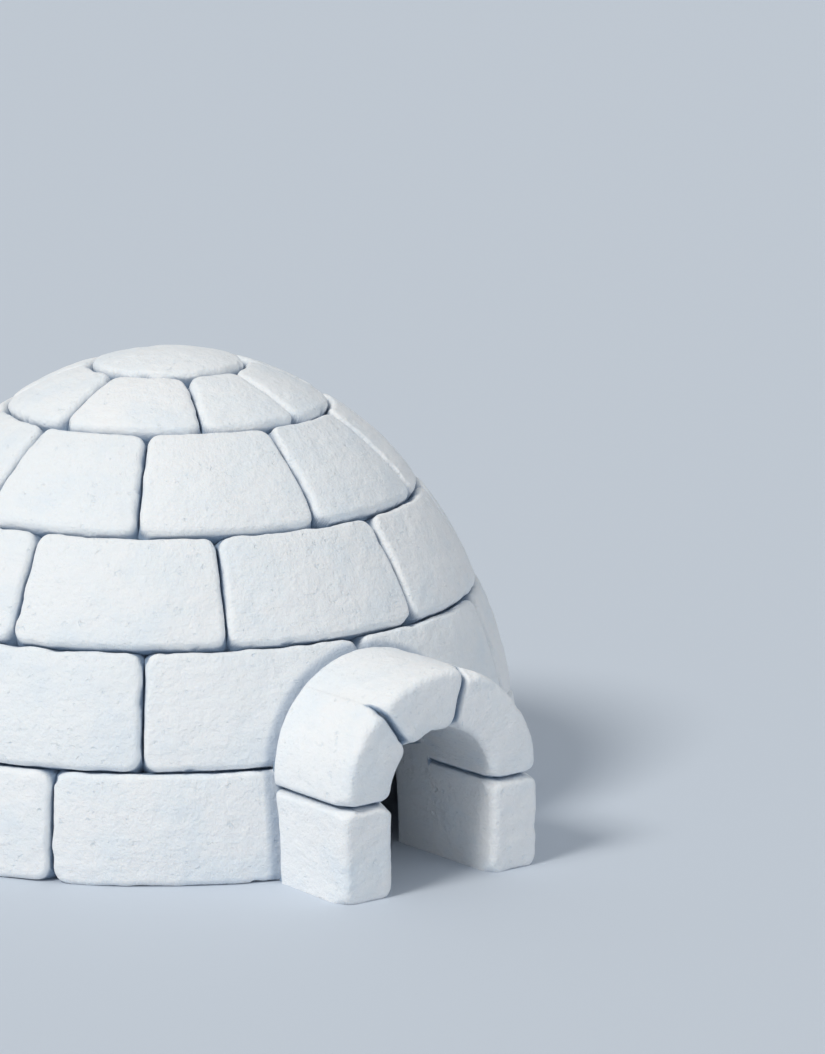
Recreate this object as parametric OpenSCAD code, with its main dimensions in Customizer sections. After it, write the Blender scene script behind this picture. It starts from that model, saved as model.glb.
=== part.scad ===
// Igloo built of cut snow blocks. Five leaning courses and a cap block close the dome, and
// a short arched tunnel of five blocks stands in front of the doorway.
// Millimetres, +Z up, tunnel towards -Y, +X on the right of someone who faces the doorway.
// The origin is on the ground, at the middle of the footprint.

/* [Dome] */
// Outer radius of the dome on the ground
dome_r = 1300; // [1200:10:1500]
// Height of the top of the dome
dome_h = 1657; // [1550:1:1900]
// Thickness of the dome wall
wall_t = 215; // [150:5:260]

/* [Courses] */
// Height of the first course, measured up the wall
course_1_h = 400; // [360:1:440]
// Height of the second course, measured up the wall
course_2_h = 426; // [390:1:460]
// Height of the third course, measured up the wall
course_3_h = 422; // [390:1:460]
// Height of the fourth course, measured up the wall
course_4_h = 448; // [400:1:480]
// Radius of the cap block, up to which the fifth course closes the wall
cap_r = 284; // [240:2:330]

/* [Blocks of the courses] */
// Blocks in the first course
course_1_blocks = 8; // [7:1:10]
// Blocks in the second course
course_2_blocks = 9; // [8:1:11]
// Blocks in the third course
course_3_blocks = 9; // [8:1:11]
// Blocks in the fourth course
course_4_blocks = 9; // [7:1:10]
// Blocks in the fifth course
course_5_blocks = 7; // [6:1:8]
// Angle from the doorway to the first upright joint on each side
course_1_angle = 54.5; // [48:0.5:62]
// Angle from the doorway to an upright joint of the second course
course_2_angle = 0; // [-4:0.5:4]
// Angle from the doorway to an upright joint of the third course
course_3_angle = 15; // [5:0.5:20]
// Angle from the doorway to an upright joint of the fourth course
course_4_angle = 0; // [-5:0.5:5]
// Angle that the fourth course's block on the left of that joint takes up
course_4_front_angle = 42.5; // [36:0.5:46]
// Angle from the doorway to an upright joint of the fifth course
course_5_angle = 17; // [10:0.5:25]
// Angle that the fifth course's block on the left of that joint takes up
course_5_front_angle = 40; // [34:0.5:56]

/* [Entrance] */
// Clear width of the passage
passage_w = 430; // [380:5:500]
// Height of the base blocks, where the arch springs
spring_h = 330; // [290:5:360]
// Thickness of the tunnel's blocks
tunnel_t = 215; // [150:5:250]
// How far the tunnel stands out in front of the dome on the ground
tunnel_reach = 315; // [200:5:600]
// Angle from the right springing to the right joint of the arch key
key_right_angle = 76; // [60:1:82]
// Angle from the right springing to the left joint of the arch key
key_left_angle = 129; // [115:1:140]

/* [Edges and joints] */
// Gap left in every joint
joint_gap = 0.4; // [0.2:0.1:2]
// Radius of the worn edges round each block's face
edge_r = 26; // [12:1:36]
// Length of the worn corners, measured along the block's face
corner_l = 78; // [60:1:100]
// Depth of the worn corners below the block's face
corner_d = 46; // [40:1:60]

/* [Hidden] */
$fn = 180;
snow = [0.95, 0.97, 1.0];
shaded_snow = [0.88, 0.92, 0.97];
facets = 4;
edge_facets = 2;
edge_tilts = [30, 60];
cutter = 500;
overrun = 20;
full_turn = 360;
climb_steps = 32;
course_heights = [course_1_h, course_2_h, course_3_h, course_4_h];
course_blocks = [course_1_blocks, course_2_blocks, course_3_blocks, course_4_blocks, course_5_blocks];
course_angles = [0, course_2_angle, course_3_angle, course_4_angle, course_5_angle];
front_angles = [0, full_turn / course_2_blocks, full_turn / course_3_blocks,
    course_4_front_angle, course_5_front_angle];
courses = len(course_blocks);
course_u = [for (c = [0:courses]) course_start(c)];
dome_y = tunnel_reach / 2;
tunnel_front = dome_r + tunnel_reach;
arch_r = passage_w / 2;
arch_outer_r = arch_r + tunnel_t;

function block_name(c, b) = str("course_", c + 1, "_block_", b + 1);

// A point of the wall's section, at angle u up the ellipse and a depth below the outer face
function wall_point(u, depth) = [(dome_r - depth) * cos(u), (dome_h - depth) * sin(u)];

// The angle u that a length along the outer face takes up
function wall_angle(length, u) = length / norm([dome_r * sin(u), dome_h * cos(u)]) * 180 / PI;

// The angle u reached by climbing a length up the wall from u, in short steps
function climb(u, length, steps) = steps == 0 ? u
    : climb(u + wall_angle(length / steps, u), length - length / steps, steps - 1);

// The angle u where course c starts. The fifth course ends at the cap block.
function course_start(c) = c == 0 ? 0
    : c == courses ? acos(cap_r / dome_r)
    : climb(course_start(c - 1), course_heights[c - 1], climb_steps);

// A worn edge as [run along the face, depth below it], from the joint to the face
function worn_edge(r) = [for (k = [0:edge_facets])
    [r - r * cos(90 * k / edge_facets), r - r * sin(90 * k / edge_facets)]];

// Upright joints of course c, in degrees from the middle of the doorway. The doorway splits
// the first course, and the two blocks beside it end at the passage. The last block of each
// other course lies on the left of joint 0, and the others share the rest of the turn.
function joint_angle(c, i) =
    c > 0 && i == course_blocks[c] ? course_angles[c] + full_turn
    : c > 0 ? course_angles[c] + i * (full_turn - front_angles[c]) / (course_blocks[c] - 1)
    : i == 0 ? 0
    : i == course_blocks[0] ? full_turn
    : course_1_angle + (i - 1) * (full_turn - 2 * course_1_angle) / (course_blocks[0] - 2);

// Lowest and highest angle u of course c, inside its bed joints
function bed_low(c) = c == 0 ? 0 : course_u[c] + wall_angle(joint_gap / 2, course_u[c]);
function bed_high(c) = course_u[c + 1] - wall_angle(joint_gap / 2, course_u[c + 1]);

// Section of a course: the outer face with both long edges worn, the beds and the inner face
function course_section(u0, u1) = concat(
    [for (e = worn_edge(edge_r)) wall_point(u0 + wall_angle(e[0], u0), e[1])],
    [for (i = [1:facets - 1]) wall_point(u0 + (u1 - u0) * i / facets, 0)],
    [for (k = [edge_facets:-1:0]) let (e = worn_edge(edge_r)[k])
        wall_point(u1 - wall_angle(e[0], u1), e[1])],
    [for (i = [facets:-1:0]) wall_point(u0 + (u1 - u0) * i / facets, wall_t)]);

// Everything beyond a plane through point p with normal n
module beyond(p, n) {
    translate(p)
        rotate([0, acos(n[2] / norm(n)), atan2(n[1], n[0])])
            translate([-cutter / 2, -cutter / 2, 0])
                cube(cutter);
}

// Wears one upright edge of a block of course c: two planes along the edge and one at each
// corner. The joint lies on y = 0, the block on its +Y side and the dome's axis on Z.
module worn_upright_edge(u0, u1) {
    low = wall_point(u0, 0);
    high = wall_point(u1, 0);
    height = norm(high - low);
    translate([low[0], 0, low[1]])
        rotate([0, atan2(high[0] - low[0], high[1] - low[1]), 0]) {
            for (t = edge_tilts)
                beyond([-edge_r + edge_r * cos(t), edge_r - edge_r * sin(t), height / 2],
                       [cos(t), -sin(t), 0]);
            beyond([-corner_d, 0, 0], [1 / corner_d, -1 / corner_l, -1 / corner_l]);
            beyond([-corner_d, 0, height], [1 / corner_d, -1 / corner_l, 1 / corner_l]);
        }
}

// A block of course c between its upright joints b and b + 1
module course_block(c, b) {
    u0 = bed_low(c);
    u1 = bed_high(c);
    half_gap = joint_gap / 2 / wall_point((u0 + u1) / 2, wall_t / 2)[0] * 180 / PI;
    start = joint_angle(c, b) + half_gap;
    end = joint_angle(c, b + 1) - half_gap;
    color(c % 2 == 0 ? snow : shaded_snow)
        difference() {
            translate([0, dome_y, 0])
                difference() {
                    rotate([0, 0, start - 90])
                        rotate_extrude(angle = end - start)
                            polygon(course_section(u0, u1));
                    rotate([0, 0, start - 90])
                        worn_upright_edge(u0, u1);
                    rotate([0, 0, end - 90])
                        mirror([0, 1, 0])
                            worn_upright_edge(u0, u1);
                }
            if (meets_passage(c, b))
                passage();
        }
}

// Whether block b of course c touches the passage through the wall
function meets_passage(c, b) =
    wall_point(course_u[c], 0)[1] < spring_h + arch_r
    && (joint_angle(c, b) < asin(arch_r / (dome_r - wall_t)) || b == course_blocks[c] - 1);

// The clear way in: straight jambs under a round arch, through the tunnel and the wall
module passage() {
    translate([0, dome_y - dome_r / 2, 0])
        rotate([90, 0, 0])
            linear_extrude(dome_r / 2 + tunnel_reach + overrun)
                union() {
                    translate([-arch_r, -overrun])
                        square([passage_w, spring_h + overrun]);
                    translate([0, spring_h])
                        circle(r = arch_r);
                }
}

// The block that closes the top of the dome
module cap_block() {
    u0 = course_u[courses] + wall_angle(joint_gap / 2, course_u[courses]);
    color(snow)
        translate([0, dome_y, 0])
            rotate_extrude()
                polygon(concat(
                    [for (e = worn_edge(edge_r)) wall_point(u0 + wall_angle(e[0], u0), e[1])],
                    [for (i = [1:facets]) wall_point(u0 + (90 - u0) * i / facets, 0)],
                    [for (i = [facets:-1:0]) wall_point(u0 + (90 - u0) * i / facets, wall_t)]));
}

// The dome as one mass, one joint gap larger, which shapes the back of the tunnel's blocks
module dome_mass() {
    translate([0, dome_y, 0])
        rotate_extrude()
            polygon(concat(
                [[0, -overrun], [dome_r + joint_gap, -overrun]],
                [for (c = [0:courses - 1]) for (i = [0:facets - 1])
                    wall_point(course_u[c] + (course_u[c + 1] - course_u[c]) * i / facets, -joint_gap)],
                [wall_point(course_u[courses], -joint_gap), [0, dome_h + joint_gap]]));
}

// One base block, on the right: its plan is extruded up to the springing, with both front
// corners worn, and its top edges are worn where the arch joint shows
module tunnel_base() {
    x0 = arch_r;
    x1 = arch_outer_r;
    front = dome_y - tunnel_front;
    top = spring_h - joint_gap / 2;
    plan = concat(
        [[x0, dome_y - dome_r / 2], [x0, front + edge_r]],
        [for (k = [1:edge_facets]) let (e = worn_edge(edge_r)[k]) [x0 + e[0], front + e[1]]],
        [for (k = [edge_facets:-1:0]) let (e = worn_edge(edge_r)[k]) [x1 - e[0], front + e[1]]],
        [[x1, dome_y - dome_r / 2]]);
    difference() {
        linear_extrude(top)
            polygon(plan);
        for (t = edge_tilts) {
            beyond([(x0 + x1) / 2, front + edge_r - edge_r * cos(t), top - edge_r + edge_r * sin(t)],
                   [0, -cos(t), sin(t)]);
            beyond([x1 - edge_r + edge_r * cos(t), front, top - edge_r + edge_r * sin(t)],
                   [cos(t), 0, sin(t)]);
        }
        beyond([x1, front, top - corner_d], [1, -1, corner_l / corner_d]);
        dome_mass();
    }
}

// One arch block of the tunnel between two angles from the right springing
module tunnel_arch(start, end) {
    half_gap = joint_gap / 2 / (arch_r + tunnel_t / 2) * 180 / PI;
    difference() {
        translate([0, dome_y, spring_h])
            rotate([90, 0, 0])
                difference() {
                    rotate([0, 0, start + half_gap])
                        rotate_extrude(angle = end - start - 2 * half_gap)
                            polygon(arch_section());
                    rotate([0, 0, start + half_gap])
                        worn_arch_edge(start == 0);
                    rotate([0, 0, end - half_gap])
                        mirror([0, 1, 0])
                            worn_arch_edge(end == 180);
                }
        dome_mass();
    }
}

// Section of the arch as [radius, distance in front of the dome's axis], front edges worn
function arch_section() = concat(
    [[arch_r, dome_r / 2], [arch_outer_r, dome_r / 2]],
    [for (e = worn_edge(edge_r)) [arch_outer_r - e[1], tunnel_front - edge_r + e[0]]],
    [for (k = [edge_facets:-1:0]) let (e = worn_edge(edge_r)[k])
        [arch_r + e[1], tunnel_front - edge_r + e[0]]]);

// Wears the joint edge of an arch block on the front face, and along the outside where the
// block stands on a base block. The joint lies on y = 0 and the tunnel's axis on Z.
module worn_arch_edge(springing) {
    for (t = edge_tilts) {
        beyond([arch_outer_r, edge_r - edge_r * sin(t), tunnel_front - edge_r + edge_r * cos(t)],
               [0, -sin(t), cos(t)]);
        if (springing)
            beyond([arch_outer_r - edge_r + edge_r * cos(t), edge_r - edge_r * sin(t), tunnel_front],
                   [cos(t), -sin(t), 0]);
    }
    beyond([arch_outer_r, corner_d, tunnel_front], [1, -corner_l / corner_d, 1]);
}

for (c = [0:courses - 1])
    for (b = [0:course_blocks[c] - 1])
        course_block(c, b);
cap_block();
color(snow) mirror([1, 0, 0]) tunnel_base();  // tunnel_base_left
color(snow) tunnel_base();  // tunnel_base_right
color(shaded_snow) tunnel_arch(key_left_angle, 180);  // tunnel_arch_left
color(snow) tunnel_arch(key_right_angle, key_left_angle);  // tunnel_arch_key
color(shaded_snow) tunnel_arch(0, key_right_angle);  // tunnel_arch_right
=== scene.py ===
"""An igloo of cut snow blocks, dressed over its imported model: every block as it looks, and a plain stage."""

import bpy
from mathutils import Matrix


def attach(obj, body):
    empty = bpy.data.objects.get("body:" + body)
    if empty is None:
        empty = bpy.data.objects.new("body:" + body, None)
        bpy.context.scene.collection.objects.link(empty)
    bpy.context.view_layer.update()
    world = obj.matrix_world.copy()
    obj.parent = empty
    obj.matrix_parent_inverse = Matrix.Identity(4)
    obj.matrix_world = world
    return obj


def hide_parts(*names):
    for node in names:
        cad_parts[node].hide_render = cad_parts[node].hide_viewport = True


bl_info = {
    "name": "Igloo",
    "version": (1, 0, 0),
    "blender": (4, 5, 0),
    "location": "View3D > Sidebar > Igloo",
    "description": "Makes the worn snow blocks of an igloo and a plain stage round it",
    "category": "Add Mesh",
}

import itertools
import math

import bpy
import numpy as np
from bpy.props import FloatProperty, FloatVectorProperty, IntVectorProperty, PointerProperty
from bpy.types import Operator, Panel, PropertyGroup
from mathutils import Vector

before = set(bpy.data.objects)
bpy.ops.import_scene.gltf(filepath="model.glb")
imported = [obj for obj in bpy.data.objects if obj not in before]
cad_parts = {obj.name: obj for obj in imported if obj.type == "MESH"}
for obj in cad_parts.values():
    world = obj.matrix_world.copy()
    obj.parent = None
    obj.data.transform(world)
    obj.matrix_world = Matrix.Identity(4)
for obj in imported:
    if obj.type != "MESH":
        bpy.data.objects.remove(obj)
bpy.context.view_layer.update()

BODY = "root"
DOME_SLOT = "dome_snow"
TUNNEL_SLOT = "tunnel_snow"

# Grids over the blocks, in metres or in shares of a side

# Distances from an edge at which a face has its lines, and their spacing further in
EDGE_LINES = np.array([
    0.0, 0.0015, 0.004, 0.0075, 0.012, 0.0175, 0.024, 0.031, 0.0385, 0.0465, 0.055, 0.064])
FACE_STEP = 0.0135
# The largest share of a side that the lines near one edge may take up
EDGE_SHARE = 0.4
# Lines on the way from the outer to the inner face of the wall
DEPTH_LINES = np.array([0.0, 0.05, 0.12, 0.22, 0.38, 0.58, 0.78, 0.92, 1.0])
# Spacing of the lines over the last stretch of the tunnel, where it meets the dome, and that stretch
BACK_STEP = 0.004
BACK_LENGTH = 0.06
# Lengths of the tunnel's base and arch blocks, by which their lines are spaced
BASE_LENGTH = 0.39
ARCH_LENGTH = 0.42
# Share of a block's grid over the doorway, from the doorway's middle on, that follows its round top
ROUND_SHARE = 0.28
# Steps in which a course's height is climbed, and in which the doorway's round top is found
CLIMB_STEPS = 32
DOOR_STEPS = 10
# Edges between faces that meet more steeply than this stay sharp
SHARP_ANGLE = math.radians(55)

# Patterns of the wear: the size of a cell in metres, and what is added to the seed of a block

WAVER = (0.07, 0)
FINE_WAVER = (0.022, 1)
CHIPS = (0.045, 2)
SWAY = (0.19, 3)
FINE_SWAY = (0.08, 4)
LUMPS = (0.035, 5)
SLIT = (0.05, 6)
SPRINGING_WAVER = (0.06, 30)
BACK_WAVER = (0.06, 31)
# Random values along each side of the table that the patterns are read from
NOISE_SIDE = 32
# Shares of the finer pattern in the waver and in the sway
FINE_WAVER_SHARE = 0.4
FINE_SWAY_SHARE = 0.25
# Values of its pattern between which a chip grows to its full depth
CHIP_RANGE = (0.35, 0.95)
# What is added to a block's seed for how it is set, how its material lies, and for its other faces
SET_SEED = 7
MATERIAL_SEED = 8
OTHER_SEED = 20
# Seed of the sway along the passage, which runs on from the tunnel into the wall
PASSAGE_SEED = 90
# Seed of the roof, which runs on over the three arch blocks
ROOF_SEED = 77
# How far apart the seeds of the courses and of the blocks in a course lie
COURSE_SEEDS = 1000
BLOCK_SEEDS = 40

# Shapes of the wear, in metres or in shares of what is named in the sidebar

# How far a block lies back on average, in halves of the set back
MEAN_SET_BACK = 1.5
# Power with which a face's crown falls away towards its edges
CROWN_POWER = 4
# Half the width of a joint further in, and the share of its depth at which a slit starts to close
CLOSED_JOINT = 0.00005
SLIT_CLOSES = 0.7
# How much the width of a slit varies, and the distance over which a block gives way to it
SLIT_VARIES = 0.5
SLIT_REACH = 0.03
# Share of the wear that the wall's inner faces have
INNER_SHARE = 0.3
# Share of the sway that the passage has, and the place from which it is read
PASSAGE_SWAY = 0.5
PASSAGE_PLANE = -1.0
# Power with which the passage's sway fades out along a wall block, away from the passage
SWAY_POWER = 4
# How far the tunnel's sides stand back from the wall's in the passage, and the share of wear they have
PASSAGE_STEP = 0.0004
PASSAGE_WEAR = 0.5
# Share of the worn edge's radius by which a base block's foot is spared
FOOT_SHARE = 0.5
# Radius of the worn edge where the tunnel's outside meets the dome
BACK_EDGE = 0.014
# Distances behind the tunnel's outline between which the wear of the dome's face ends
TUNNEL_COVER = (0.012, 0.035)
# A distance at which an edge has no effect
FAR = 1.0

# The painted shade in the joints, along the tunnel and in the groove behind it: where it fades, in metres or
# shares

# Depths in a joint between which the painted shade grows, as shares of the worn edge's radius
JOINT_SHADE_DEPTHS = (0.4, 1.5)
# Distance from the passage over which it fades in on the blocks beside the doorway
JAMB_TONE = 0.02
# Distances from a joint between which it fades out on the tunnel
JOINT_TONE = (0.001, 0.011)
# Shares of the way to the dome between which it fades out in the joints beside the arch key
KEY_TONE = (0.03, 0.1)
# Shares of a tunnel block's thickness between which it fades in towards the outside, beside the dome
OUTSIDE_TONE = (0.6, 0.9)
# Distances from the tunnel's outline between which the painted contact shadow fades out on the dome, and its
# strength there
TUNNEL_TONE = (0.004, 0.030)
TUNNEL_SHADE = 0.6
# Distances from the springing between which the painted groove shadow fades out on the wall behind the tunnel
GROOVE_TONE = (0.004, 0.020)

# The snow's material

# How far its patterns are turned at most on a block, in radians, and shifted
PATTERN_TURN = 0.14
PATTERN_SHIFT = 20.0
# Its patterns: scale, detail, stretch across, up and into a block, and roughness
EVEN = (1.0, 1.0, 1.0)
SNOW_PATTERNS = {
    "patches": (5.0, 4.0, EVEN, 0.55),
    "layers": (1.0, 3.0, (1.5, 24.0, 3.0), 0.55),
    "marks": (1.0, 1.0, (6.0, 40.0, 20.0), 0.55),
    "lumps": (32.0, 2.0, EVEN, 0.55),
    "grain": (85.0, 5.0, EVEN, 0.65),
    "pits": (34.0, 3.0, EVEN, 0.55),
    "blocks": (0.35, 0.0, EVEN, 0.55),
}
# Values of the pits' pattern between which a pit reaches its depth
PIT_RANGE = (0.64, 0.74)
# Values of a pattern between which it turns the snow denser, and how far it does
SNOW_TONES = {
    "patches": (0.48, 0.72, 0.7),
    "layers": (0.52, 0.70, 0.2),
    "pits": (0.0, 1.0, 0.6),
    "blocks": (0.35, 0.65, 0.3),
}
# Heights of the bumps in metres, negative where they sink in, and their strength
SNOW_BUMPS = {"layers": 0.002, "marks": 0.0015, "lumps": 0.007, "grain": 0.006, "pits": -0.003}
BUMP_STRENGTH = 0.8
# Two values of the grain, and the roughness at each
GRAIN_ROUGHNESS = (0.3, 0.7, 0.85, 0.6)
# What is the same all over the snow
SNOW_SHADER = {
    "Subsurface Weight": 0.3,
    "Subsurface Radius": (1.0, 1.1, 1.2),
    "Subsurface Scale": 0.008,
    "IOR": 1.31,
}

# The stage

FLOOR_HALF = 120.0
FLOOR_ROUGHNESS = 0.9
LAMP_DISTANCE = 10.0
# Longer side of the camera's sensor in millimetres, and how far the camera sees, in metres
SENSOR = 36.0
VIEW_END = 500.0


class DomeSizes(PropertyGroup):
    """Sizes of the dome and its courses, the same as the solids have."""
    radius: FloatProperty(
        name="Radius", description="Outer radius of the dome on the ground", default=1.300, unit="LENGTH")
    height: FloatProperty(
        name="Height", description="Height of the top of the dome", default=1.657, unit="LENGTH")
    wall: FloatProperty(
        name="Wall", description="Thickness of the wall", default=0.215, unit="LENGTH")
    centre_y: FloatProperty(
        name="Centre", description="Where the dome's axis stands along Y", default=0.1575, unit="LENGTH")
    course_heights: FloatVectorProperty(
        name="Course heights", description="Heights of the first four courses, measured up the wall",
        size=4, default=(0.400, 0.426, 0.422, 0.448), unit="LENGTH")
    cap_radius: FloatProperty(
        name="Cap radius", description="Radius of the cap block", default=0.284, unit="LENGTH")
    blocks: IntVectorProperty(
        name="Blocks", description="Blocks in each course", size=5, default=(8, 9, 9, 9, 7))
    angles: FloatVectorProperty(
        name="Joint angles", description="Angle from the doorway to an upright joint of each course",
        size=5, default=tuple(math.radians(a) for a in (54.5, 0.0, 15.0, 0.0, 17.0)), unit="ROTATION")
    fronts: FloatVectorProperty(
        name="Front blocks", description="Angle that the last block of the second to fifth course takes up",
        size=4, default=tuple(math.radians(a) for a in (40.0, 40.0, 42.5, 40.0)), unit="ROTATION")


class EntranceSizes(PropertyGroup):
    """Sizes of the doorway and of the tunnel in front of it."""
    half_width: FloatProperty(
        name="Half width", description="Half the clear width of the passage", default=0.215, unit="LENGTH")
    spring: FloatProperty(
        name="Springing", description="Height of the base blocks, where the arch springs",
        default=0.330, unit="LENGTH")
    thickness: FloatProperty(
        name="Thickness", description="Thickness of the tunnel's blocks", default=0.215, unit="LENGTH")
    front_y: FloatProperty(
        name="Front", description="Where the tunnel's front stands along Y", default=-1.4575, unit="LENGTH")
    key_angles: FloatVectorProperty(
        name="Key joints", description="Angles from the right springing to the joints of the arch key",
        size=2, default=(math.radians(76), math.radians(129)), unit="ROTATION")
    bury: FloatProperty(
        name="Bury", description="How far the tunnel's blocks reach below the dome's face",
        default=0.016, unit="LENGTH")


class BlockWear(PropertyGroup):
    """How the snow blocks are worn."""
    edge: FloatProperty(
        name="Edge", description="Radius of the worn edges round a face", default=0.026, unit="LENGTH")
    corner: FloatProperty(
        name="Corner", description="Radius of a dome block's rounded corners", default=0.064, unit="LENGTH")
    tunnel_corner: FloatProperty(
        name="Tunnel corner", description="Radius of a tunnel block's rounded corners",
        default=0.050, unit="LENGTH")
    notch: FloatProperty(
        name="Notch", description="Slope of the notch where rounded corners meet", default=2.1)
    slit: FloatProperty(
        name="Slit", description="Half the width of a joint where it shows", default=0.005, unit="LENGTH")
    slit_depth: FloatProperty(
        name="Slit depth", description="Depth at which a joint closes", default=0.065, unit="LENGTH")
    waver: FloatProperty(
        name="Waver", description="How far an edge wavers", default=0.004, unit="LENGTH")
    chip: FloatProperty(
        name="Chip", description="How far chips reach in from an edge", default=0.010, unit="LENGTH")
    sway: FloatProperty(
        name="Sway", description="How far a face sways in and out", default=0.0045, unit="LENGTH")
    lumps: FloatProperty(
        name="Lumps", description="Height of the small lumps on a face", default=0.0020, unit="LENGTH")
    crown: FloatProperty(
        name="Crown", description="How much a face is crowned", default=0.006, unit="LENGTH")
    set_back: FloatProperty(
        name="Set back", description="How far a block may lie behind its neighbours",
        default=0.005, unit="LENGTH")
    inner_edge: FloatProperty(
        name="Inner edge", description="Radius of the worn edges inside", default=0.012, unit="LENGTH")


class SnowLook(PropertyGroup):
    """Colours of the packed snow, and of the shade painted into its joints."""
    clean: FloatVectorProperty(
        name="Clean", description="Colour of clean packed snow", size=3, subtype="COLOR",
        default=(0.92, 0.945, 0.97))
    dense: FloatVectorProperty(
        name="Dense", description="Colour of denser, icy patches", size=3, subtype="COLOR",
        default=(0.80, 0.87, 0.95))
    # Colour of the painted shade deep in the joints and along the tunnel
    joint: FloatVectorProperty(
        name="Joint", description="Colour deep in the joints", size=3, subtype="COLOR",
        default=(0.28, 0.37, 0.49))


class StageLook(PropertyGroup):
    """The floor, the lamps and the camera."""
    floor: FloatVectorProperty(
        name="Floor", description="Colour of the floor", size=3, subtype="COLOR",
        default=(0.60, 0.66, 0.74))
    backdrop: FloatVectorProperty(
        name="Backdrop", description="Colour beyond the floor", size=3, subtype="COLOR",
        default=(0.515, 0.571, 0.631))
    sky: FloatVectorProperty(
        name="Sky", description="Colour of the light from all round", size=3, subtype="COLOR",
        default=(0.93, 0.965, 1.0))
    sky_strength: FloatProperty(
        name="Sky strength", description="Strength of the light from all round", default=0.43)
    key: FloatVectorProperty(
        name="Key", description="Colour of the key lamp", size=3, subtype="COLOR",
        default=(1.0, 0.97, 0.92))
    key_strength: FloatProperty(
        name="Key strength", description="Strength of the key lamp", default=1.82)
    key_azimuth: FloatProperty(
        name="Key azimuth", description="Where the key lamp stands round the igloo",
        default=math.radians(-84), unit="ROTATION")
    key_elevation: FloatProperty(
        name="Key elevation", description="How high the key lamp stands",
        default=math.radians(45), unit="ROTATION")
    key_spread: FloatProperty(
        name="Key spread", description="Angle that the key lamp fills, for soft shadows",
        default=math.radians(18), unit="ROTATION")
    fill_strength: FloatProperty(
        name="Fill strength", description="Strength of the fill lamp", default=0.30)
    fill_azimuth: FloatProperty(
        name="Fill azimuth", description="Where the fill lamp stands round the igloo",
        default=math.radians(12), unit="ROTATION")
    fill_elevation: FloatProperty(
        name="Fill elevation", description="How high the fill lamp stands",
        default=math.radians(28), unit="ROTATION")
    fill_spread: FloatProperty(
        name="Fill spread", description="Angle that the fill lamp fills, for soft shadows",
        default=math.radians(50), unit="ROTATION")
    lens: FloatProperty(
        name="Lens", description="Focal length in millimetres, on a sensor 36 mm high", default=152.46)
    distance: FloatProperty(
        name="Distance", description="Distance of the camera from the dome's axis",
        default=16.0, unit="LENGTH")
    eye: FloatProperty(
        name="Eye height", description="Height of the camera", default=4.291, unit="LENGTH")
    azimuth: FloatProperty(
        name="Azimuth", description="Where the camera stands round the dome",
        default=math.radians(-35.146), unit="ROTATION")
    yaw: FloatProperty(
        name="Yaw", description="Turn of the camera to the right of the dome's axis",
        default=math.radians(3.174), unit="ROTATION")
    pitch: FloatProperty(
        name="Pitch", description="Tilt of the camera", default=math.radians(-11.663), unit="ROTATION")


class IglooSettings(PropertyGroup):
    """All the settings of the igloo."""
    dome: PointerProperty(type=DomeSizes)
    entrance: PointerProperty(type=EntranceSizes)
    wear: PointerProperty(type=BlockWear)
    snow: PointerProperty(type=SnowLook)
    stage: PointerProperty(type=StageLook)


def settings():
    """The igloo's settings in the open scene."""
    return bpy.context.scene.igloo


# Numbers

def smooth(x, low, high):
    """A cubic step that rises from 0 at low to 1 at high: three squares less two cubes of the share."""
    t = np.clip((x - low) / (high - low), 0.0, 1.0)
    return t * t * (3.0 - 2.0 * t)


def noise(points, pattern, seed):
    """Random values at the corners of cubes of one cell, joined by cubic steps, from -1 to 1."""
    cell, added = pattern
    table = np.random.default_rng(seed + added).uniform(-1.0, 1.0, (NOISE_SIDE,) * 3)
    scaled = points / cell
    base = np.floor(scaled).astype(int)
    part = scaled - base
    part = part * part * (3.0 - 2.0 * part)
    total = np.zeros(len(points))
    for corner in itertools.product((0, 1), repeat=3):
        weight = np.prod(np.where(corner, part, 1.0 - part), axis=1)
        total += weight * table[tuple(((base + corner) % NOISE_SIDE).T)]
    return total


def quarter(distance, radius):
    """Depth of a quarter round of a radius, at a distance from the edge."""
    inside = np.clip(radius - distance, 0.0, radius)
    return radius - np.sqrt(radius * radius - inside * inside)


def grid_lines(length):
    """Values from 0 to 1 along a length: close together near both ends and FACE_STEP apart between."""
    edge = EDGE_LINES[EDGE_LINES < EDGE_SHARE * length]
    count = max(2, round((length - 2 * edge[-1]) / FACE_STEP))
    middle = np.linspace(edge[-1], length - edge[-1], count + 1)[1:-1]
    return np.concatenate([edge, middle, (length - edge)[::-1]]) / length


def back_lines(length):
    """Values from 0 to 1 along the tunnel: FACE_STEP apart, and BACK_STEP apart near the dome."""
    fine = np.arange(0.0, BACK_LENGTH, BACK_STEP)
    coarse = np.linspace(BACK_LENGTH, length, round((length - BACK_LENGTH) / FACE_STEP) + 1)
    return 1.0 - np.concatenate([fine, coarse])[::-1] / length


def box_grid(across, up, deep):
    """The surface of a cube as one closed grid. Of the lattice of the three lists, each point that lies
    on the cube's surface is kept once, and each of the six sides joins its own points into quads.
    Returns the three parameters of the points, and the quads."""
    ids = np.zeros((len(across), len(up), len(deep)), dtype=int)
    ids[1:-1, 1:-1, 1:-1] = -1
    kept = ids >= 0
    ids[kept] = np.arange(kept.sum())
    values = [v[kept] for v in np.meshgrid(across, up, deep, indexing="ij")]
    sides = (ids[:, :, 0], ids[:, :, -1].T, ids[0], ids[-1].T, ids[:, 0].T, ids[:, -1])
    quads = [np.stack([s[:-1, :-1], s[1:, :-1], s[1:, 1:], s[:-1, 1:]], axis=-1) for s in sides]
    return values, np.concatenate([q.reshape(-1, 4) for q in quads])


# The wear of the snow

def edge_depth(inside):
    """Depth of a worn edge at a distance inside its outline: a quarter round, and outside the outline
    a notch that falls at a slope."""
    wear = settings().wear
    return quarter(np.maximum(inside, 0.0), wear.edge) + wear.notch * np.maximum(-inside, 0.0)


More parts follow.
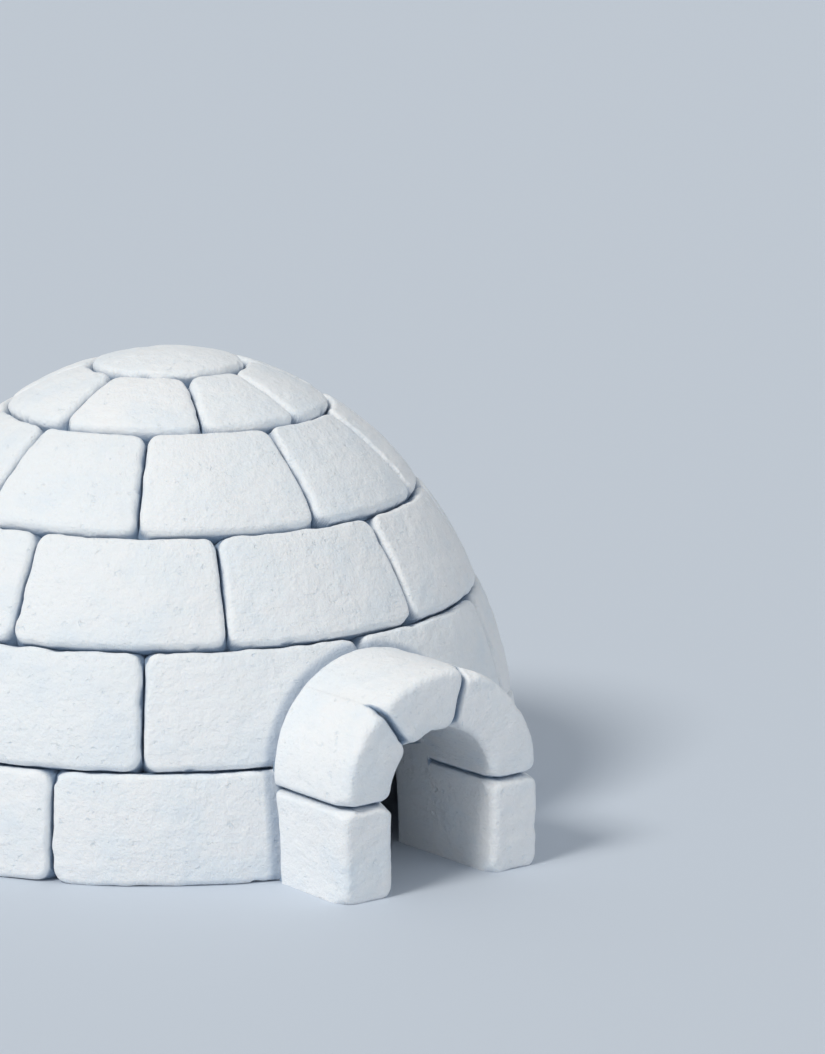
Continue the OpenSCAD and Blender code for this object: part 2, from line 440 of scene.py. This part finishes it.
def worn_depth(e, f, points, corner, seed):
    """Depth of a worn face below its plane, where e and f are the distances to the nearest upright and
    level edge. The distance inside the outline is the smaller of the two, or near a corner that inside
    its circle, and it takes on the waver and loses the chips."""
    wear = settings().wear
    round_corner = corner - np.hypot(corner - e, corner - f)
    inside = np.where((e < corner) & (f < corner), round_corner, np.minimum(e, f))
    waver = noise(points, WAVER, seed) + FINE_WAVER_SHARE * noise(points, FINE_WAVER, seed)
    inside = inside + wear.waver * waver
    inside = inside - wear.chip * smooth(noise(points, CHIPS, seed), *CHIP_RANGE)
    return edge_depth(inside)


def face_depth(a, b, points, seed):
    """Depth of a face apart from its edges, where a and b are the shares of the way across and up. It is
    set back and tipped by what is drawn for the block, crowned by a power of the distance from its
    middle, and sways."""
    wear = settings().wear
    back, tip_a, tip_b = np.random.default_rng(seed + SET_SEED).uniform(-1.0, 1.0, 3)
    half = 0.5 * wear.set_back
    level = half * (MEAN_SET_BACK + back + tip_a * (a - 0.5) + tip_b * (b - 0.5))
    flat_a = 1.0 - (2.0 * a - 1.0) ** CROWN_POWER
    flat_b = 1.0 - (2.0 * b - 1.0) ** CROWN_POWER
    return level + wear.crown * (1.0 - flat_a * flat_b) + swaying_depth(points, seed)


def swaying_depth(points, seed):
    """Depth of the slow sways and small lumps of a cut face, never above its plane."""
    wear = settings().wear
    slow = (1.0 - FINE_SWAY_SHARE) * noise(points, SWAY, seed)
    fine = FINE_SWAY_SHARE * noise(points, FINE_SWAY, seed)
    return wear.sway * (1.0 + slow + fine) + wear.lumps * (1.0 + noise(points, LUMPS, seed))


def passage_sway(y, z):
    """How far the passage's sides sway outwards: a share of the sway read on one upright plane, so that
    it is the same for the tunnel and the wall behind it."""
    points = np.stack([np.full_like(y, PASSAGE_PLANE), y, z], axis=-1)
    return PASSAGE_SWAY * swaying_depth(points, PASSAGE_SEED)


def slit_of(depth, points, seed, share=1.0):
    """How far a block stands off its joint at a depth: a slit of varying width that closes further in,
    never below zero. A share below 1 narrows it where the joint is covered."""
    wear = settings().wear
    wide = share * wear.slit * (1.0 + SLIT_VARIES * noise(points, SLIT, seed))
    return CLOSED_JOINT + wide * (1.0 - smooth(depth, SLIT_CLOSES * wear.slit_depth, wear.slit_depth))


def joint_shade_of(depth):
    """Painted shade by how far down in a joint a point lies, a step from 0 near the face to 1."""
    edge = settings().wear.edge
    return smooth(depth, JOINT_SHADE_DEPTHS[0] * edge, JOINT_SHADE_DEPTHS[1] * edge)


def shade_near_line(distance, fade):
    """Strength of the painted shade at a distance from a line, 1 on it and 0 beyond the second distance of a
    pair.
    """
    return 1.0 - smooth(distance, *fade)


def pattern_of(across, up, depth, seed):
    """Metres across, up and into a block, turned a little and shifted, for the material's patterns."""
    draw = np.random.default_rng(seed + MATERIAL_SEED)
    turn = draw.uniform(-PATTERN_TURN, PATTERN_TURN)
    shift = draw.uniform(0.0, PATTERN_SHIFT, 3)
    return np.stack([across * math.cos(turn) - up * math.sin(turn) + shift[0],
                     across * math.sin(turn) + up * math.cos(turn) + shift[1],
                     depth + shift[2]], axis=-1)


# Pieces

def signed_volume(points, quads):
    """Six times the volume inside the quads, positive where they face outwards."""
    p, q, r, s = (points[quads[:, k]] for k in range(4))
    return np.sum(p * np.cross(q, r)) + np.sum(p * np.cross(r, s))


def snow_piece(node, points, quads, painted_shade, pattern, slot):
    """One closed block from its points and quads, which takes the place of a solid, with the strength of its
    painted shade as an attribute.
    """
    if signed_volume(points, quads) < 0.0:
        quads = quads[:, ::-1]
    name = f"{node}_snow"
    mesh = bpy.data.meshes.new(name)
    mesh.vertices.add(len(points))
    mesh.vertices.foreach_set("co", points.ravel())
    mesh.loops.add(quads.size)
    mesh.loops.foreach_set("vertex_index", quads.ravel())
    mesh.polygons.add(len(quads))
    mesh.polygons.foreach_set("loop_start", np.arange(0, quads.size, 4))
    mesh.polygons.foreach_set("use_smooth", np.ones(len(quads), dtype=bool))
    mesh.update(calc_edges=True)
    if mesh.validate():
        raise RuntimeError(f"{name} has faulty faces")
    # Strength of the painted shade: deep in the joints, along the tunnel and in the groove behind it
    mesh.attributes.new("painted_shade", "FLOAT", "POINT").data.foreach_set("value", painted_shade)
    mesh.attributes.new("pattern", "FLOAT_VECTOR", "POINT").data.foreach_set("vector", pattern.ravel())
    mesh.set_sharp_from_angle(angle=SHARP_ANGLE)
    mesh.materials.append(packed_snow(slot))
    piece = bpy.data.objects.new(name, mesh)
    bpy.context.scene.collection.objects.link(piece)
    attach(piece, BODY)
    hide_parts(node)
    return piece


# The wall

def climb_rate(u):
    """Metres up the outer face for each radian of u: the root of the squares of the radius times the
    sine of u and the height times its cosine."""
    dome = settings().dome
    return np.hypot(dome.radius * np.sin(u), dome.height * np.cos(u))


def course_bounds():
    """Angles up the ellipse at which the courses meet. Each is reached by climbing a course's height
    along the outer face in short steps, and the last is where the cap block starts."""
    dome = settings().dome
    bounds = [0.0]
    for height in dome.course_heights:
        u, left = bounds[-1], height
        for steps in range(CLIMB_STEPS, 0, -1):
            u += left / steps / climb_rate(u)
            left -= left / steps
        bounds.append(u)
    return bounds + [math.acos(dome.cap_radius / dome.radius)]


def joint_angle(course, i):
    """Angle of upright joint i of a course. The doorway splits the first course. In the others the last
    block has a width of its own, and the others share the rest of the turn."""
    dome = settings().dome
    count = dome.blocks[course]
    if course and i == count:
        return dome.angles[course] + math.tau
    if course:
        return dome.angles[course] + i * (math.tau - dome.fronts[course - 1]) / (count - 1)
    if i in (0, count):
        return i / count * math.tau
    return dome.angles[0] + (i - 1) * (math.tau - 2.0 * dome.angles[0]) / (count - 2)


def wall_points(theta, u, depth):
    """Points of the wall: theta round the axis from the doorway, u up the ellipse, depth below the face.
    The distance from the axis is the radius less the depth times the cosine of u, and the height is the
    dome's less the depth times its sine."""
    dome = settings().dome
    r = (dome.radius - depth) * np.cos(u)
    z = (dome.height - depth) * np.sin(u)
    return np.stack([r * np.sin(theta), dome.centre_y - r * np.cos(theta), z], axis=-1)


def jamb_theta(u, depth):
    """Angle at which the passage's side meets the wall: its sine is the passage's half width, less where
    the arch closes in, over the distance from the axis."""
    dome, entrance = settings().dome, settings().entrance
    rise = np.clip((dome.height - depth) * np.sin(u) - entrance.spring, 0.0, entrance.half_width)
    half = np.sqrt(entrance.half_width ** 2 - rise ** 2)
    return np.arcsin(half / ((dome.radius - depth) * np.cos(u)))


def arch_u(theta, depth, lowest):
    """Angle up the ellipse at which the passage's round top meets the wall, found by stepping: the
    radius there gives the distance from the middle, which gives the height of the half circle."""
    dome, entrance = settings().dome, settings().entrance
    u = np.full_like(theta, lowest)
    for _ in range(DOOR_STEPS):
        x = np.clip((dome.radius - depth) * np.cos(u) * np.sin(theta), 0.0, entrance.half_width)
        z = entrance.spring + np.sqrt(entrance.half_width ** 2 - x ** 2)
        u = np.maximum(np.arcsin(z / (dome.height - depth)), lowest)
    return u


def tunnel_distance(face):
    """How far outside the tunnel's outline a point on the dome's face lies, negative where the tunnel
    covers it. The outline is a half circle over upright sides."""
    entrance = settings().entrance
    x, z = np.abs(face[:, 0]), np.maximum(face[:, 2] - entrance.spring, 0.0)
    return np.hypot(x, z) - entrance.half_width - entrance.thickness


def wall_block(course, b, bounds, seed):
    """One block of the wall on a cube's grid. Its parameters across and up turn into the two angles of
    the wall between the block's joints, its outer face lies as deep as its wear, its inner face at the
    wall's thickness less its own wear, and the points between them run straight through the wall.
    Beside and over the doorway the block ends at the passage, and a left one is a right one mirrored."""
    dome, wear = settings().dome, settings().wear
    low, high = bounds[course], bounds[course + 1]
    start, end = joint_angle(course, b), joint_angle(course, b + 1)
    last = dome.blocks[course] - 1
    beside = course == 0 and b in (0, last)
    over = course == 1 and b in (0, last)
    mirrored = (beside or over) and b == last
    if mirrored:
        start, end = math.tau - end, math.tau - start
    middle = 0.5 * (low + high)
    first = float(jamb_theta(middle, 0.0)) if beside else start
    width = (end - first) * dome.radius * math.cos(middle)
    height = (high - low) * float(climb_rate(middle))
    (a, b_up, d), quads = box_grid(grid_lines(width), grid_lines(height), DEPTH_LINES)
    in_arch = a < ROUND_SHARE

    def place(depth):
        """Both angles of the points at a depth, and those where the block starts, across and up. Beside
        the doorway it starts at the passage's side. Over it, the first share of the grid stands on the
        round top, and the rest on the bed joint."""
        u = low + b_up * (high - low)
        if beside:
            first = jamb_theta(u, depth)
            return first + a * (end - first), u, first, low
        if over:
            turn = jamb_theta(low, depth)
            beyond = turn + (a - ROUND_SHARE) / (1.0 - ROUND_SHARE) * (end - turn)
            theta = np.where(in_arch, a / ROUND_SHARE * turn, beyond)
            floor = np.where(in_arch, arch_u(theta, depth, low), low)
            return theta, floor + b_up * (high - floor), start, floor
        return start + a * (end - start), u, start, low

    theta, u, first, floor = place(np.zeros_like(a))
    face = wall_points(theta, u, 0.0)
    r = dome.radius * np.cos(u)
    rate = climb_rate(u)
    left, right = (theta - first) * r, (end - theta) * r
    below, above = (u - floor) * rate, (high - u) * rate
    e = right if beside else np.minimum(left, right)
    f = np.where(in_arch, above, np.minimum(below, above)) if over else np.minimum(below, above)
    outside = tunnel_distance(face)
    bare = 1.0 - smooth(-outside, *TUNNEL_COVER) if beside or over else 1.0
    level = face_depth(a, b_up, face, seed)
    outer = level + bare * worn_depth(e, f, face, wear.corner, seed)
    inner_face = dome.wall - INNER_SHARE * face_depth(a, b_up, face, seed + OTHER_SEED)
    inner = inner_face - quarter(np.min([left, right, below, above], axis=0), wear.inner_edge)
    depth = outer + d * (inner - outer)

    theta, u, first, floor = place(depth)
    slit = slit_of(depth, face, seed, bare)
    near = 1.0 - smooth(np.stack([left, right, below, above]), 0.0, SLIT_REACH)
    if beside:
        near[0] = 0.0
    if over:
        near[2] = np.where(in_arch, 0.0, near[2])
    if course == 0:
        near[2] = 0.0
    theta = theta + slit * (near[0] - near[1]) / r
    u = u + slit * (near[2] - near[3]) / rate
    points = wall_points(theta, u, depth)
    if beside:
        points[:, 0] += (1.0 - a) ** SWAY_POWER * passage_sway(points[:, 1], points[:, 2])
    if mirrored:
        points[:, 0] = -points[:, 0]

    # Painted shade deep in the joints, outside and at the inner worn edges
    painted_shade = joint_shade_of(outer - level + d * dome.wall) * smooth(inner_face - depth, 0.0, wear.inner_edge)
    # Beside the doorway: painted shadow where the groove at the springing ends on the covered wall face, and
    # the joint shade faded in from the passage
    if beside:
        from_spring = np.abs(face[:, 2] - settings().entrance.spring)
        groove_shadow = (1.0 - bare) * shade_near_line(from_spring, GROOVE_TONE) * shade_near_line(d, DEPTH_LINES[:2])
        painted_shade = np.maximum(painted_shade * smooth(left, 0.0, JAMB_TONE), groove_shadow)
    if over:
        painted_shade = np.where(in_arch & (above > below), 0.0, painted_shade)
    # Painted contact shadow on the dome's face along the tunnel's outline
    if beside or over:
        shade = TUNNEL_SHADE * shade_near_line(np.abs(outside), TUNNEL_TONE)
        painted_shade = np.maximum(painted_shade, shade * (1.0 - d))
    pattern = pattern_of(a * width, b_up * height, depth, seed)
    node = f"course_{course + 1}_block_{b + 1}"
    return snow_piece(node, points, quads, painted_shade, pattern, DOME_SLOT)


# The cap

def cap_block(bounds, seed):
    """The round block on top, on a cube's grid. A point of the square face keeps its greater distance
    from the middle, as a share of the radius, and its angle follows its way along that ring, so that
    the square's edges become the round edge of the cap. It lies less deep than the other blocks and
    isn't tipped, and its crown grows with a power of the share."""
    dome, wear = settings().dome, settings().wear
    low, top = bounds[-1], math.pi / 2.0
    rate = float(climb_rate(0.5 * (low + top)))
    side = grid_lines(2.0 * (top - low) * rate)
    (a, b, d), quads = box_grid(side, side, DEPTH_LINES)
    s, t = 2.0 * a - 1.0, 2.0 * b - 1.0
    share = np.maximum(np.abs(s), np.abs(t))
    wide = np.abs(s) >= np.abs(t)
    longer, shorter = np.where(wide, s, t), np.where(wide, t, s)
    ratio = shorter / np.where(share == 0.0, 1.0, longer)
    turn = np.where(wide, ratio, 2.0 - ratio) * math.pi / 4.0 + np.where(longer < 0.0, math.pi, 0.0)
    u = top - share * (top - low)
    face = wall_points(turn, u, 0.0)
    f = (u - low) * rate
    level = face_depth(0.5, 0.5, face, seed) - wear.set_back + wear.crown * share ** CROWN_POWER
    level = np.maximum(level, 0.0)
    outer = level + worn_depth(np.full_like(f, FAR), f, face, wear.corner, seed)
    inner = dome.wall - quarter(f, wear.inner_edge)
    depth = outer + d * (inner - outer)
    u = u + slit_of(depth, face, seed) * (1.0 - smooth(f, 0.0, SLIT_REACH)) / rate
    points = wall_points(turn, u, depth)
    # Painted shade deep in the joint round the cap and at its inner worn edge
    painted_shade = joint_shade_of(outer - level + d * dome.wall) * smooth(dome.wall - depth, 0.0, wear.inner_edge)
    pattern = pattern_of(face[:, 0], face[:, 1], depth, seed)
    return snow_piece("cap_block", points, quads, painted_shade, pattern, DOME_SLOT)


# The tunnel

def dome_front(x, z, depth):
    """Where a point at x and z lies along Y on the dome's front, at a depth below its face: the ellipse
    gives the distance from the axis at that height, and its circle gives y."""
    dome = settings().dome
    r = (dome.radius - depth) * np.sqrt(1.0 - (z / (dome.height - depth)) ** 2)
    return dome.centre_y - np.sqrt(r ** 2 - x ** 2)


def back_distance(points, seed):
    """How far in front of the dome's face a point lies, with the waver of a worn edge."""
    x, y, z = points.T
    return dome_front(x, z, 0.0) - y + settings().wear.waver * noise(points, BACK_WAVER, seed)


def back_shade(behind, share):
    """The painted shade in the crease where the tunnel's outside meets the dome, share being 1 on the outside.
    """
    return shade_near_line(behind, JOINT_TONE) * smooth(share, *OUTSIDE_TONE)


def tunnel_base(node, side, seed):
    """A base block of the tunnel on a cube's grid, the right one for side 1: x runs between the passage
    and the outer side, z up to the springing, and y from the worn front back to the dome."""
    entrance, wear = settings().entrance, settings().wear
    inside, wide, top, front = entrance.half_width, entrance.thickness, entrance.spring, entrance.front_y
    (a, b, d), quads = box_grid(grid_lines(wide), grid_lines(top), back_lines(BASE_LENGTH))
    x, z = inside + a * wide, b * top
    face = np.stack([x, np.full_like(x, front), z], axis=-1)
    e = np.minimum(a, 1.0 - a) * wide
    f = np.minimum(z + FOOT_SHARE * wear.edge, top - z)
    outer = face_depth(a, b, face, seed) + worn_depth(e, f, face, wear.tunnel_corner, seed)
    y = front + outer + d * (dome_front(x, z, entrance.bury) - front - outer)

    skin = np.stack([x, y, z], axis=-1)
    behind = back_distance(skin, seed)
    worn_side = edge_depth(top - z + wear.waver * noise(skin, SPRINGING_WAVER, seed))
    inner_side = passage_sway(y, z) + PASSAGE_STEP + PASSAGE_WEAR * worn_side
    worn_outside = np.maximum(worn_side, quarter(behind, BACK_EDGE))
    outer_side = wide - swaying_depth(skin, seed + OTHER_SEED) - worn_outside
    x = inside + inner_side + a * (outer_side - inner_side)
    shown = np.min([y - front, inside + wide - x, (x - inside) / PASSAGE_WEAR], axis=0)
    z = z - b * (1.0 - smooth(top - z, 0.0, SLIT_REACH)) * slit_of(shown, face, seed)
    points = np.stack([side * x, y, z], axis=-1)
    # Painted shade in the joint under the springing and in the crease where the tunnel meets the dome
    painted_shade = np.maximum(shade_near_line(top - z, JOINT_TONE), back_shade(behind, a))
    return snow_piece(node, points, quads, painted_shade, pattern_of(y, z, x, seed), TUNNEL_SLOT)


def tunnel_arch(node, start, end, seed):
    """An arch block of the tunnel on a cube's grid bent round the passage: the angle runs from the
    right springing between the block's joints, the radius from the passage out to the roof, and y from
    the worn front back to the dome. The roof runs on smoothly from block to block."""
    entrance, wear = settings().entrance, settings().wear
    inside, wide, front = entrance.half_width, entrance.thickness, entrance.front_y
    on_right, on_left = start == 0.0, end == math.pi
    round_lines = grid_lines((end - start) * (inside + 0.5 * wide))
    (a, b, d), quads = box_grid(round_lines, grid_lines(wide), back_lines(ARCH_LENGTH))
    angle, radius = start + a * (end - start), inside + b * wide
    x, z = radius * np.cos(angle), entrance.spring + radius * np.sin(angle)
    face = np.stack([x, np.full_like(x, front), z], axis=-1)
    right, left = (angle - start) * radius, (end - angle) * radius
    e, f = np.minimum(right, left), np.minimum(b, 1.0 - b) * wide
    outer = face_depth(a, b, face, seed) + worn_depth(e, f, face, wear.tunnel_corner, seed)
    y = front + outer + d * (dome_front(x, z, entrance.bury) - front - outer)

    skin = np.stack([x, y, z], axis=-1)
    behind = back_distance(skin, ROOF_SEED)
    above = np.where(on_right, right, np.where(on_left, left, FAR))
    worn_side = edge_depth(above + wear.waver * noise(skin, SPRINGING_WAVER, seed))
    soffit = passage_sway(y, z) + PASSAGE_STEP + PASSAGE_WEAR * worn_side
    roof = wide - swaying_depth(skin, ROOF_SEED) - np.maximum(worn_side, quarter(behind, BACK_EDGE))
    radius = inside + soffit + b * (roof - soffit)
    springing = (on_right & (a < 0.5)) | (on_left & (a > 0.5))
    beside = np.minimum(inside + wide - radius, (radius - inside) / PASSAGE_WEAR)
    shown = np.where(springing, np.minimum(y - front, beside), y - front)
    slit = slit_of(shown, face, seed) / radius
    give_right, give_left = (1.0 - smooth(side, 0.0, SLIT_REACH) for side in (right, left))
    angle = angle + slit * (give_right - give_left)
    points = np.stack([radius * np.cos(angle), y, entrance.spring + radius * np.sin(angle)], axis=-1)

    # Painted shade in the arch's joints, and in the crease where the tunnel meets the dome
    painted_shade = shade_near_line(e, JOINT_TONE) * np.where(springing, 1.0, shade_near_line(d, KEY_TONE))
    painted_shade = np.maximum(painted_shade, back_shade(behind, b))
    pattern = pattern_of(y, angle * (inside + wide), radius, ROOF_SEED)
    return snow_piece(node, points, quads, painted_shade, pattern, TUNNEL_SLOT)


# The materials

def add_node(tree, kind, inputs=None, **options):
    """A node with its options set, and each input either linked from a socket or set to a value."""
    made = tree.nodes.new(kind)
    for option, value in options.items():
        setattr(made, option, value)
    for name, value in (inputs or {}).items():
        if isinstance(value, bpy.types.NodeSocket):
            tree.links.new(value, made.inputs[name])
        else:
            made.inputs[name].default_value = value
    return made


def ramp(tree, value, low, high, start=0.0, end=1.0):
    """A value carried from one range to another, and held at its ends."""
    inputs = {"Value": value, "From Min": low, "From Max": high, "To Min": start, "To Max": end}
    return add_node(tree, "ShaderNodeMapRange", inputs).outputs["Result"]


def blend_colour(tree, factor, first, second):
    """One colour turned into another by a factor."""
    inputs = {"Factor": factor, "A": first, "B": second}
    return add_node(tree, "ShaderNodeMix", inputs, data_type="RGBA").outputs["Result"]


def texture(tree, along, pattern):
    """One of the snow's patterns over a block: noise with a scale, a detail, a stretch and a roughness."""
    scale, detail, stretch, rough = pattern
    moved = add_node(tree, "ShaderNodeMapping", {"Vector": along, "Scale": stretch}).outputs["Vector"]
    inputs = {"Vector": moved, "Scale": scale, "Detail": detail, "Roughness": rough}
    return add_node(tree, "ShaderNodeTexNoise", inputs).outputs["Fac"]


def packed_snow(slot):
    """Packed snow, made once for each slot: denser patches and layers, cut marks, pits and grain that follow
    each block, and a painted blue shade deep in the joints and where the tunnel meets the dome."""
    name = f"packed_{slot}"
    if name in bpy.data.materials:
        return bpy.data.materials[name]
    look = settings().snow
    material = bpy.data.materials.new(name)
    material.use_nodes = True
    tree = material.node_tree
    shader = tree.nodes["Principled BSDF"]
    along = add_node(tree, "ShaderNodeAttribute", attribute_name="pattern").outputs["Vector"]
    # Strength of the painted shade, read from the piece's attribute
    deep = add_node(tree, "ShaderNodeAttribute", attribute_name="painted_shade").outputs["Fac"]
    values = {kind: texture(tree, along, pattern) for kind, pattern in SNOW_PATTERNS.items()}
    values["pits"] = ramp(tree, values["pits"], *PIT_RANGE)

    colour = (*look.clean, 1.0)
    for kind, (low, high, most) in SNOW_TONES.items():
        factor = ramp(tree, values[kind], low, high, 0.0, most)
        colour = blend_colour(tree, factor, colour, (*look.dense, 1.0))
    # Painted shade: the colour turns to the shade colour deep in the joints and along the tunnel
    colour = blend_colour(tree, deep, colour, (*look.joint, 1.0))
    tree.links.new(colour, shader.inputs["Base Color"])
    tree.links.new(ramp(tree, values["grain"], *GRAIN_ROUGHNESS), shader.inputs["Roughness"])

    normal = None
    for kind, height in SNOW_BUMPS.items():
        inputs = {"Height": values[kind], "Distance": abs(height), "Strength": BUMP_STRENGTH}
        if normal:
            inputs["Normal"] = normal
        normal = add_node(tree, "ShaderNodeBump", inputs, invert=height < 0.0).outputs["Normal"]
    tree.links.new(normal, shader.inputs["Normal"])
    for socket, value in SNOW_SHADER.items():
        shader.inputs[socket].default_value = value
    return material


# The stage

def add_floor(stage):
    """A plain square floor, level with the ground."""
    corners = [(x * FLOOR_HALF, y * FLOOR_HALF, 0.0) for x, y in ((-1, -1), (1, -1), (1, 1), (-1, 1))]
    mesh = bpy.data.meshes.new("floor")
    mesh.from_pydata(corners, [], [(0, 1, 2, 3)])
    floor = bpy.data.objects.new("floor", mesh)
    bpy.context.scene.collection.objects.link(floor)
    paint = bpy.data.materials.new("floor")
    paint.use_nodes = True
    shader = paint.node_tree.nodes["Principled BSDF"]
    shader.inputs["Base Color"].default_value = (*stage.floor, 1.0)
    shader.inputs["Roughness"].default_value = FLOOR_ROUGHNESS
    mesh.materials.append(paint)


def add_world(stage):
    """Even light from all round, while the camera and reflections see the colour of the backdrop."""
    world = bpy.data.worlds.new("studio")
    world.use_nodes = True
    bpy.context.scene.world = world
    tree = world.node_tree
    light = tree.nodes["Background"]
    light.inputs["Color"].default_value = (*stage.sky, 1.0)
    light.inputs["Strength"].default_value = stage.sky_strength
    shown = add_node(tree, "ShaderNodeBackground", {"Color": (*stage.backdrop, 1.0)})
    path = add_node(tree, "ShaderNodeLightPath").outputs
    seen = path["Is Camera Ray"]
    for ray in ("Is Glossy Ray", "Is Transmission Ray"):
        seen = add_node(tree, "ShaderNodeMath", {0: seen, 1: path[ray]}, operation="MAXIMUM").outputs["Value"]
    inputs = {0: seen, 1: light.outputs["Background"], 2: shown.outputs["Background"]}
    mix = add_node(tree, "ShaderNodeMixShader", inputs)
    tree.links.new(mix.outputs["Shader"], tree.nodes["World Output"].inputs["Surface"])


def add_lamp(name, strength, colour, azimuth, elevation, spread):
    """A far, soft lamp that shines on the igloo from an azimuth and an elevation."""
    lamp = bpy.data.lights.new(name, "SUN")
    lamp.energy = strength
    lamp.color = colour
    lamp.angle = spread
    place = bpy.data.objects.new(name, lamp)
    bpy.context.scene.collection.objects.link(place)
    level = math.cos(elevation)
    towards = Vector((math.sin(azimuth) * level, -math.cos(azimuth) * level, math.sin(elevation)))
    place.rotation_euler = towards.to_track_quat("Z", "Y").to_euler()
    place.location = LAMP_DISTANCE * towards


def add_camera(stage):
    """The camera, which stands round the dome at an azimuth, a distance and a height, and looks past the
    dome's axis by its yaw and its pitch."""
    data = bpy.data.cameras.new("camera")
    data.sensor_width = SENSOR
    data.lens = stage.lens
    data.clip_end = VIEW_END
    camera = bpy.data.objects.new("camera", data)
    bpy.context.scene.collection.objects.link(camera)
    middle_y = settings().dome.centre_y
    camera.location = (math.sin(stage.azimuth) * stage.distance,
                       middle_y - math.cos(stage.azimuth) * stage.distance, stage.eye)
    heading = stage.azimuth - stage.yaw
    level = math.cos(stage.pitch)
    look = Vector((-math.sin(heading) * level, math.cos(heading) * level, math.sin(stage.pitch)))
    camera.rotation_euler = look.to_track_quat("-Z", "Y").to_euler()
    bpy.context.scene.camera = camera


# The steps

class IGLOO_OT_course_blocks(Operator):
    """Make the blocks of the five courses"""
    bl_idname = "igloo.course_blocks"
    bl_label = "Course blocks"

    def execute(self, context):
        bounds = course_bounds()
        for course, count in enumerate(settings().dome.blocks):
            for b in range(count):
                wall_block(course, b, bounds, seed=COURSE_SEEDS * (course + 1) + BLOCK_SEEDS * b)
        return {"FINISHED"}


class IGLOO_OT_cap_block(Operator):
    """Make the block that closes the top"""
    bl_idname = "igloo.cap_block"
    bl_label = "Cap block"

    def execute(self, context):
        cap_block(course_bounds(), seed=7000)
        return {"FINISHED"}


class IGLOO_OT_tunnel_bases(Operator):
    """Make the two base blocks of the entrance tunnel"""
    bl_idname = "igloo.tunnel_bases"
    bl_label = "Tunnel base blocks"

    def execute(self, context):
        tunnel_base("tunnel_base_left", -1.0, seed=8000)
        tunnel_base("tunnel_base_right", 1.0, seed=8100)
        return {"FINISHED"}


class IGLOO_OT_tunnel_arch(Operator):
    """Make the three arch blocks of the entrance tunnel"""
    bl_idname = "igloo.tunnel_arch"
    bl_label = "Tunnel arch blocks"

    def execute(self, context):
        first, second = settings().entrance.key_angles
        tunnel_arch("tunnel_arch_right", 0.0, first, seed=8200)
        tunnel_arch("tunnel_arch_key", first, second, seed=8300)
        tunnel_arch("tunnel_arch_left", second, math.pi, seed=8400)
        return {"FINISHED"}


class IGLOO_OT_stage(Operator):
    """Make the floor, the lamps and the camera"""
    bl_idname = "igloo.stage"
    bl_label = "Stage"

    def execute(self, context):
        stage = settings().stage
        add_floor(stage)
        add_world(stage)
        add_lamp("key", stage.key_strength, stage.key,
                 stage.key_azimuth, stage.key_elevation, stage.key_spread)
        add_lamp("fill", stage.fill_strength, stage.sky,
                 stage.fill_azimuth, stage.fill_elevation, stage.fill_spread)
        add_camera(stage)
        context.scene.view_settings.view_transform = "Standard"
        return {"FINISHED"}


OPERATORS = (
    IGLOO_OT_course_blocks,
    IGLOO_OT_cap_block,
    IGLOO_OT_tunnel_bases,
    IGLOO_OT_tunnel_arch,
    IGLOO_OT_stage,
)


class IGLOO_PT_panel(Panel):
    """Lists the pieces that can be made"""
    bl_label = "Igloo"
    bl_idname = "IGLOO_PT_panel"
    bl_space_type = "VIEW_3D"
    bl_region_type = "UI"
    bl_category = "Igloo"

    def draw(self, context):
        for operator in OPERATORS:
            self.layout.operator(operator.bl_idname)


SETTINGS = (DomeSizes, EntranceSizes, BlockWear, SnowLook, StageLook, IglooSettings)
CLASSES = (*SETTINGS, *OPERATORS, IGLOO_PT_panel)


def register():
    """Register the classes and give the scene its settings."""
    for cls in CLASSES:
        bpy.utils.register_class(cls)
    bpy.types.Scene.igloo = PointerProperty(type=IglooSettings)


def unregister():
    """Take the settings and the classes away again."""
    del bpy.types.Scene.igloo
    for cls in reversed(CLASSES):
        bpy.utils.unregister_class(cls)


def main():
    """Make the igloo and its stage."""
    register()
    bpy.ops.igloo.course_blocks()
    bpy.ops.igloo.cap_block()
    bpy.ops.igloo.tunnel_bases()
    bpy.ops.igloo.tunnel_arch()
    bpy.ops.igloo.stage()


if __name__ == "__main__":
    main()
